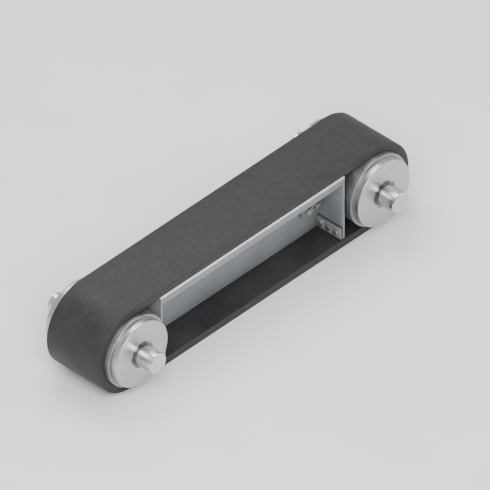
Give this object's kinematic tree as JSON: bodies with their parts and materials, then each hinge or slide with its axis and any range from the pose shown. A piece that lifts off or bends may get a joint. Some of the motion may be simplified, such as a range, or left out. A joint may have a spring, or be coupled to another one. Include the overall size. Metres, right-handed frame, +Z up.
{
  "type": "rubber track unit",
  "caption": "Smooth rubber belt track round split end drums with projecting stub shafts, over an inner slider bed with a centre web.",
  "frame": {"origin": "on the ground, under the centre of the belt loop", "axes": "+X forward along the belt towards the idler drum, +Y to the left side, +Z up"},
  "size_m": [1.4638, 0.464, 0.324],
  "materials": {
    "belt_rubber": "matte",
    "carcass_fabric": "matte",
    "cord_steel": "satin",
    "wiper_rubber": "matte",
    "liner_plastic": "satin",
    "frame_paint": "satin",
    "bronze": "satin",
    "ground_steel": "polished",
    "drum_steel": "satin",
    "cap_steel": "satin",
    "cast_iron": "matte",
    "spring_steel": "satin",
    "zinc_steel": "satin"
  },
  "bodies": {
    "root": {"arm_bolts": "zinc_steel", "arm_nuts": "zinc_steel", "arm_washers": "zinc_steel", "belt_carcass": "carcass_fabric", "belt_cords": "cord_steel", "belt_inner_cover": "belt_rubber", "belt_outer_cover": "belt_rubber", "centre_web": "frame_paint", "front_bearing_arm": "frame_paint", "front_bush": "bronze", "front_end_wall": "frame_paint", "front_grease_nipple": "zinc_steel", "front_left_seal": "wiper_rubber", "front_left_thrust_washer": "bronze", "front_left_wiper": "wiper_rubber", "front_left_wiper_clamp": "frame_paint", "front_right_seal": "wiper_rubber", "front_right_thrust_washer": "bronze", "front_right_wiper": "wiper_rubber", "front_right_wiper_clamp": "frame_paint", "liner_screws": "zinc_steel", "rear_bearing_arm": "frame_paint", "rear_bush": "bronze", "rear_end_wall": "frame_paint", "rear_grease_nipple": "zinc_steel", "rear_left_seal": "wiper_rubber", "rear_left_thrust_washer": "bronze", "rear_left_wiper": "wiper_rubber", "rear_left_wiper_clamp": "frame_paint", "rear_right_seal": "wiper_rubber", "rear_right_thrust_washer": "bronze", "rear_right_wiper": "wiper_rubber", "rear_right_wiper_clamp": "frame_paint", "slider_channel": "frame_paint", "wear_liner": "liner_plastic", "wiper_bolts": "zinc_steel"},
    "rear_drum": {"rear_shaft": "ground_steel", "rear_left_hub": "cast_iron", "rear_left_drum_shell": "drum_steel", "rear_left_end_cap": "cap_steel", "rear_left_hub_key": "spring_steel", "rear_left_circlip": "spring_steel", "rear_right_hub": "cast_iron", "rear_right_drum_shell": "drum_steel", "rear_right_end_cap": "cap_steel", "rear_right_hub_key": "spring_steel", "rear_right_circlip": "spring_steel"},
    "front_drum": {"front_shaft": "ground_steel", "front_left_hub": "cast_iron", "front_left_drum_shell": "drum_steel", "front_left_end_cap": "cap_steel", "front_left_hub_key": "spring_steel", "front_left_circlip": "spring_steel", "front_right_hub": "cast_iron", "front_right_drum_shell": "drum_steel", "front_right_end_cap": "cap_steel", "front_right_hub_key": "spring_steel", "front_right_circlip": "spring_steel"}
  },
  "joints": [
    {"name": "rear_drum_spin", "type": "hinge", "parent": "root", "child": "rear_drum", "pos_m": [-0.57, 0, 0.162], "axis": [0, 1, 0], "continuous": true},
    {"name": "front_drum_spin", "type": "hinge", "parent": "root", "child": "front_drum", "pos_m": [0.57, 0, 0.162], "axis": [0, 1, 0], "continuous": true}
  ],
  "couplings": [
    {"joint": "front_drum_spin", "follows": "rear_drum_spin", "ratio": 1}
  ]
}
